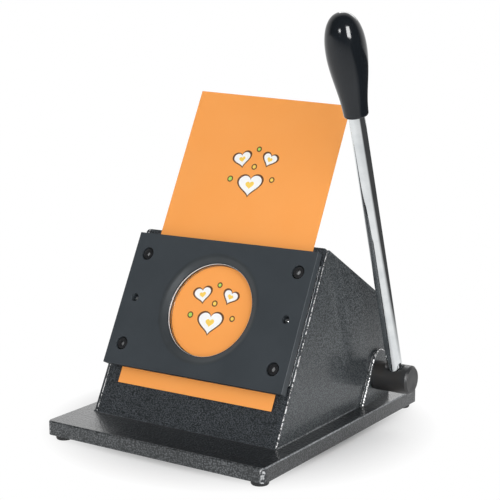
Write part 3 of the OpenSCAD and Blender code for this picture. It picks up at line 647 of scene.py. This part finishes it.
# Painted highlight on the roundings of the die plate's right edge
for f in die_shape.faces:
    spot = to_face @ f.calc_center_median()
    if 0.3 < f.normal.x < 0.95 and f.normal.dot(out_of_face) > 0.3 and spot.x > DIE_EDGE_X:
        f.material_index = die_finishes.index(die_edge_glint_lacquer)
piece("die_plate_lacquered", die_shape, die_finishes, "housing", ["die_plate"], 20)

ring_outline = [
    (RING_BORE_R, RING_BACK + 0.05),
    (RING_BORE_R + 0.05, RING_BACK),
    (RING_R - 0.2, RING_BACK),
    (RING_R, RING_BACK + 0.2),
    (RING_R, RING_FRONT),
    (RING_BORE_R + 0.15, RING_FRONT),
    (RING_BORE_R, RING_FRONT - 0.1),
    (RING_BORE_R, RING_FRONT - LIT_BAND),
    (RING_BORE_R, RING_BACK + 0.05),
]
ring_shape = repeated(turned(ring_outline, 160), [FACE])
ring_finishes = [lapped_steel, turned_lacquer, bore_shade, land_highlight]
# In the bore, the front band gets the painted highlight and the rest of the bore painted shade
for f in ring_shape.faces:
    spot = to_face @ f.calc_center_median()
    if spot.xy.length > RING_BORE_R + 0.1:
        finish = lapped_steel if spot.z < RING_FRONT - 0.05 else turned_lacquer
    else:
        finish = bore_shade if spot.z < RING_FRONT - LIT_BAND else land_highlight
    f.material_index = ring_finishes.index(finish)
piece("die_ring_lapped", ring_shape, ring_finishes, "housing", ["die_ring"], 30)

screws = repeated(
    socket_screw(SCREW_HEAD_R, SCREW_HEAD_H, SOCKET_FLATS, SHANK_R, SHANK_L),
    [FACE @ Matrix.Translation((x, y, SCREW_SEAT)) for x, y in SCREW_PLACES],
)
screw_finishes = [screw_black, socket_glint]
# The socket floors get the painted glint
for f in screws.faces:
    spot = to_face @ f.calc_center_median()
    near_axis = min((spot.xy - Vector(place)).length for place in SCREW_PLACES)
    if near_axis < 1 and SCREW_SEAT < spot.z < SCREW_SEAT + SCREW_HEAD_H:
        f.material_index = screw_finishes.index(socket_glint)
piece("die_screws_black", screws, screw_finishes, "housing", ["die_screws"], 30)

dressed("punch_guide", ground_steel, "housing", 0.3)
post_outline = [
    (0, POST_BACK),
    (POST_R - GROOVE_DEPTH, POST_BACK),
    (POST_R, POST_BACK + GROOVE_DEPTH),
    (POST_R, GROOVE_BACK),
    (POST_R - GROOVE_DEPTH, GROOVE_BACK),
    (POST_R - GROOVE_DEPTH, GROOVE_FRONT),
    (POST_R, GROOVE_FRONT),
    (POST_R, POST_FRONT - POST_EDGE),
    (POST_R - POST_EDGE, POST_FRONT),
    (DOWEL_R, POST_FRONT),
]
# The dowel's domed end
for tilt in (68, 55, 42, 29, 15, 0):
    angle = math.radians(tilt)
    post_outline.append((DOME_R * math.sin(angle), DOWEL_END - DOME_R * (1 - math.cos(angle))))
posts = repeated(turned(post_outline, 48), [FACE @ Matrix.Translation((x, y, 0)) for x, y in POST_PLACES])
piece("guide_posts_ground", posts, [lapped_steel], "housing", ["guide_posts"], 35)
dressed("post_rings", spring_wire, "housing", 0.15)

coil = bmesh.new()
wire = bmesh.ops.create_circle(coil, segments=10, radius=WIRE_R, cap_ends=False)["verts"]
bmesh.ops.rotate(coil, verts=wire, cent=(0, 0, 0), matrix=Matrix.Rotation(math.pi / 2, 3, "X"))
bmesh.ops.translate(coil, verts=wire, vec=(SPRING_R, 0, SPRING_BACK + WIRE_R))
spring_steps = SPRING_TURNS * 32
climb = (SPRING_FRONT - SPRING_BACK - 2 * WIRE_R) / spring_steps
bmesh.ops.spin(
    coil,
    geom=coil.verts[:] + coil.edges[:],
    cent=(0, 0, 0),
    axis=(0, 0, 1),
    dvec=(0, 0, climb),
    angle=2 * math.pi * SPRING_TURNS,
    steps=spring_steps,
    use_merge=False,
)
bmesh.ops.holes_fill(coil, edges=[e for e in coil.edges if e.is_boundary], sides=12)
bmesh.ops.recalc_face_normals(coil, faces=coil.faces)
coils = repeated(coil, [FACE @ Matrix.Translation((x, y, 0)) for x, y in POST_PLACES])
springs = piece("return_springs_wound", coils, [spring_wire], "housing", ["return_springs"])
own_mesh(springs)

# ---------------------------------------------------------------- card
sheet_shape = cad_shape("paper_sheet")
sheet = piece("card_sheet", sheet_shape, [orange_card], "housing", ["paper_sheet"])
card_back = CARD_FACE - CARD_T
disc_outline = [
    (0, card_back),
    (DISC_R - CARD_EDGE, card_back),
    (DISC_R, card_back + CARD_EDGE),
    (DISC_R, CARD_FACE - CARD_EDGE),
    (DISC_R - CARD_EDGE, CARD_FACE),
    (0, CARD_FACE),
]
disc_shape = repeated(turned(disc_outline, 128), [FACE])
disc = piece("card_disc", disc_shape, [orange_card], "punch_carriage", ["paper_disc"])
# The levelled enamel in front is too hazy to mirror the card's colour
for card in (sheet, disc):
    card.visible_glossy = False

# The inks' places in a print's list of finishes
INKS = [ink_white, ink_brown, ink_yellow, ink_green]
WHITE, BROWN, YELLOW, GREEN = range(len(INKS))


def heart(bm, x, y, width, tilt, line=1.6):
    """A white heart on the card, laid over its brown outline, with a small yellow heart on it."""
    turn = Matrix.Translation((x, y, 0)) @ Matrix.Rotation(math.radians(tilt), 4, "Z")
    layers = ((width, BROWN, 0), (width - 2 * line, WHITE, INK), (width * 0.32, YELLOW, 2 * INK))
    for size, ink, lift in layers:
        points = []
        for k in range(48):
            a = 2 * math.pi * k / 48
            # The curve is 32 units wide
            px = 16 * math.sin(a) ** 3
            py = 12 * math.cos(a) - 4.2 * math.cos(2 * a) - 1.8 * math.cos(3 * a) - 0.8 * math.cos(4 * a)
            spot = Vector((px * size / 32, (py + 1.5) * size / 32, lift))
            points.append(bm.verts.new(turn @ spot))
        inked(bm, points, ink)


def dot(bm, x, y, radius, fill, line=0.95):
    """A round dot on the card, laid over its brown outline."""
    for size, ink, lift in ((radius, BROWN, 0), (radius - line, fill, INK)):
        ring = bmesh.ops.create_circle(bm, segments=24, radius=size, cap_ends=False)["verts"]
        bmesh.ops.translate(bm, verts=ring, vec=(x, y, lift))
        inked(bm, ring, ink)


def inked(bm, outline, ink):
    """Fills an outline of vertices with one ink."""
    patch = bm.faces.new(outline)
    patch.normal_update()
    if patch.normal.z < 0:
        patch.normal_flip()
    patch.material_index = ink


def card_print(name, x, y, body):
    """Three hearts and four dots, printed about a point of the card, with the ink's own thin body."""
    bm = bmesh.new()
    heart(bm, 0.5, -9, 23, 4)
    heart(bm, -12, 11, 17, 16)
    heart(bm, 12, 12, 15, -14)
    dot(bm, 0.3, 5.8, 2.4, YELLOW)
    dot(bm, -18, -5, 2.5, GREEN)
    dot(bm, 18.5, -3.5, 2.3, YELLOW)
    dot(bm, 0.5, 20, 2.2, GREEN)
    walls = bmesh.ops.extrude_face_region(bm, geom=bm.faces[:], use_keep_orig=True)["geom"]
    tops = [g for g in walls if isinstance(g, bmesh.types.BMVert)]
    bmesh.ops.translate(bm, verts=tops, vec=(0, 0, INK_BODY))
    bmesh.ops.recalc_face_normals(bm, faces=bm.faces)
    lift = FACE @ Matrix.Translation((x, y, CARD_FACE + INK_GAP))
    bmesh.ops.transform(bm, matrix=lift, verts=bm.verts)
    return piece(name, bm, INKS, body)


card_print("print_on_sheet", 1.5, 107.8, "housing")
card_print("print_on_disc", 0, 0.2, "punch_carriage")

# ---------------------------------------------------------------- punch and carriage
dressed("punch", lapped_steel, "punch_carriage", 0.15)
dressed("carriage", die_lacquer, "punch_carriage", 0.6)
dressed("carriage_bushes", sintered_bronze, "punch_carriage", 0.2)
dressed("carriage_screws", screw_black, "punch_carriage", 0.2)
dressed("push_stem", ground_steel, "punch_carriage", 0.4)
dressed("follower_pad", screw_black, "punch_carriage", 0.3)

# ---------------------------------------------------------------- lever
dressed("cross_shaft", black_oxide, "lever", 0.3, 30)
dressed("thrust_washers", zinc_plate, "lever", 0.15)
dressed("cam", ground_steel, "lever", 0.4, 30)
dressed("cam_key", ground_steel, "lever", 0.2)
dressed("cam_set_screw", screw_black, "lever", 0.1)
dressed("shaft_collar", black_oxide, "lever", 0.5, 30)
dressed("collar_set_screw", zinc_plate, "lever", 0.1)

rod_outline = [
    (0, ROD_FOOT),
    (ROD_R - ROD_EDGE, ROD_FOOT),
    (ROD_R, ROD_FOOT + ROD_EDGE),
    (ROD_R, ROD_TOP - ROD_EDGE),
    (ROD_R - ROD_EDGE, ROD_TOP),
    (0, ROD_TOP),
]
rod_shape = repeated(turned(rod_outline, 72), [LEVER])
piece("lever_rod_plated", rod_shape, [chrome_plate], "lever", ["lever_rod"])


def grip_radius(t):
    """Radius of the pear-shaped grip at a height above its lower end."""
    if t < GRIP_WIDE:
        f = t / GRIP_WIDE
        return GRIP_NECK_R + (GRIP_R - GRIP_NECK_R) * f * f * (3 - 2 * f)
    share = (t - GRIP_WIDE) / (GRIP_L - GRIP_WIDE)
    fullness = 2.3
    return GRIP_R * max(0, 1 - share**fullness) ** (1 / fullness)


bore_end = ROD_TOP - GRIP_FOOT + 0.4
grip_outline = [
    (0, bore_end),
    (GRIP_BORE_R, bore_end),
    (GRIP_BORE_R, 0.6),
    (GRIP_BORE_R + 0.5, 0.1),
    (GRIP_NECK_R - 1.2, 0),
    (GRIP_NECK_R - 0.4, 0.3),
    (GRIP_NECK_R - 0.08, 0.9),
]
ring_pitch = 1.6
for k in range(1, math.ceil(GRIP_SHOULDER / ring_pitch)):
    grip_outline.append((grip_radius(ring_pitch * k), ring_pitch * k))
for degrees in range(0, 90, 9):
    t = GRIP_SHOULDER + (GRIP_L - GRIP_SHOULDER) * math.sin(math.radians(degrees))
    grip_outline.append((grip_radius(t), t))
grip_outline.append((0, GRIP_L))
grip_shape = repeated(turned(grip_outline, 72), [LEVER @ Matrix.Translation((0, 0, GRIP_FOOT))])
piece("grip_moulded", grip_shape, [phenolic], "lever", ["grip"], 50)

# ---------------------------------------------------------------- floor
def clear_sight(tree, ray):
    """A value that is 1 for what is seen straight, mirrored or through glass, and 0 for soft light."""
    camera_ray = ray.outputs["Is Camera Ray"]
    glossy_ray = ray.outputs["Is Glossy Ray"]
    glass_ray = ray.outputs["Is Transmission Ray"]
    seen = add(tree, "ShaderNodeMath", {0: camera_ray, 1: glossy_ray}, operation="MAXIMUM")
    return add(tree, "ShaderNodeMath", {0: seen.outputs[0], 1: glass_ray}, operation="MAXIMUM")


floor_mesh = bmesh.new()
bmesh.ops.create_circle(floor_mesh, segments=64, radius=6, cap_ends=True)
bmesh.ops.translate(floor_mesh, verts=floor_mesh.verts, vec=(0, 0, cad_box[0][2]))
floor_data = bpy.data.meshes.new("floor")
floor_mesh.to_mesh(floor_data)
floor_mesh.free()
floor = bpy.data.objects.new("floor", floor_data)
bpy.context.scene.collection.objects.link(floor)
# White background paper, matt; past the soft shadow it burns out to pure white
floor_look = new_finish("white_paper_floor", Base_Color=hue("#F4F4F4"), Roughness=0.9)
floor_paper, floor_tree, floor_shader = floor_look
far = add(floor_tree, "ShaderNodeTexCoord").outputs["Object"]
away = add(floor_tree, "ShaderNodeVectorMath", {0: far}, operation="LENGTH")
fade = add(floor_tree, "ShaderNodeMapRange", {0: away.outputs["Value"], 1: 0.08, 2: 0.15, 3: 0, 4: 1})
ray = add(floor_tree, "ShaderNodeLightPath")
clear = clear_sight(floor_tree, ray)
share = add(floor_tree, "ShaderNodeMath", {0: clear.outputs[0], 1: fade.outputs[0]}, operation="MULTIPLY")
# The white sweep ends to the right of the machine, where shiny metal mirrors the dark studio floor
sideways = add(floor_tree, "ShaderNodeVectorMath", {0: far, 1: tuple(camera_right)}, operation="DOT_PRODUCT")
bare = add(floor_tree, "ShaderNodeMapRange", {0: sideways.outputs["Value"], 1: 0.24, 2: 0.46, 3: 0, 4: 0.93})
# It also ends in front of the machine
forward = add(floor_tree, "ShaderNodeVectorMath", {0: far, 1: tuple(-camera_ahead)}, operation="DOT_PRODUCT")
dim = add(floor_tree, "ShaderNodeMapRange", {0: forward.outputs["Value"], 1: 0.2, 2: 1.1, 3: 0, 4: 0.9})
dark_part = add(floor_tree, "ShaderNodeMath", {0: bare.outputs[0], 1: dim.outputs[0]}, operation="MAXIMUM")
mirrored = add(
    floor_tree,
    "ShaderNodeMath",
    {0: ray.outputs["Is Glossy Ray"], 1: dark_part.outputs[0]},
    operation="MULTIPLY",
)
strength = add(floor_tree, "ShaderNodeMath", {0: 1, 1: mirrored.outputs[0]}, operation="SUBTRACT")
glow = add(floor_tree, "ShaderNodeEmission", {"Color": (1, 1, 1, 1), "Strength": strength.outputs[0]})
both = add(
    floor_tree,
    "ShaderNodeMixShader",
    {0: share.outputs[0], 1: floor_shader.outputs[0], 2: glow.outputs[0]},
)
floor_tree.links.new(both.outputs[0], floor_tree.nodes["Material Output"].inputs[0])
floor_data.materials.append(floor_paper)

# ---------------------------------------------------------------- light
world = bpy.data.worlds.new("studio")
bpy.context.scene.world = world
world.use_nodes = True
sky = world.node_tree
sky.nodes.clear()
ray = add(sky, "ShaderNodeLightPath")
clear = clear_sight(sky, ray)
toward = add(sky, "ShaderNodeTexCoord").outputs["Generated"]
behind = add(sky, "ShaderNodeVectorMath", {0: toward, 1: tuple(camera_ahead)}, operation="DOT_PRODUCT")
# A pale wall in front of the machine sends most of the soft light
soft = add(sky, "ShaderNodeMapRange", {0: behind.outputs["Value"], 1: -0.9, 2: 0.3, 3: 0.9, 4: 0.15})
room = add(sky, "ShaderNodeBackground", {"Color": (1, 1, 1, 1), "Strength": soft.outputs[0]})
# Shiny surfaces mirror the white backdrop behind the machine and the dim studio in front of it
backdrop = add(sky, "ShaderNodeMapRange", {0: behind.outputs["Value"], 1: 0, 2: 0.4, 3: 0.1, 4: 1})
level = add(sky, "ShaderNodeMix", {0: ray.outputs["Is Glossy Ray"], 2: 1, 3: backdrop.outputs[0]})
white = add(sky, "ShaderNodeBackground", {"Color": (1, 1, 1, 1), "Strength": level.outputs[0]})
mixed = add(sky, "ShaderNodeMixShader", {0: clear.outputs[0], 1: room.outputs[0], 2: white.outputs[0]})
add(sky, "ShaderNodeOutputWorld", {0: mixed.outputs[0]})

LAMP_AIM = Vector((0, 0, 0.12))


def softbox(name, place, width, height, power, shape="RECTANGLE"):
    """Flat lamp that points at the middle of the machine."""
    lamp = bpy.data.lights.new(name, "AREA")
    lamp.shape = shape
    lamp.size = width
    lamp.size_y = height
    lamp.energy = power
    obj = bpy.data.objects.new(name, lamp)
    obj.location = place
    obj.rotation_euler = (LAMP_AIM - Vector(place)).to_track_quat("-Z", "Y").to_euler()
    bpy.context.scene.collection.objects.link(obj)
    return obj


key = softbox("key_softbox", (1.284, -0.775, 0.58), 1.2, 1.2, 10)
key.visible_glossy = False
# The key's bright middle is all that shiny surfaces show of it
middle_cloth = softbox("key_middle", (1.27, -0.767, 0.577), 0.5, 0.75, 25)
middle_cloth.visible_diffuse = False
softbox("round_lamp", (0.246, -1.571, 0.53), 0.3, 0.3, 4.2, "DISK")
softbox("back_softbox", (-0.3, 1.4, 1.2), 1.2, 0.6, 8)
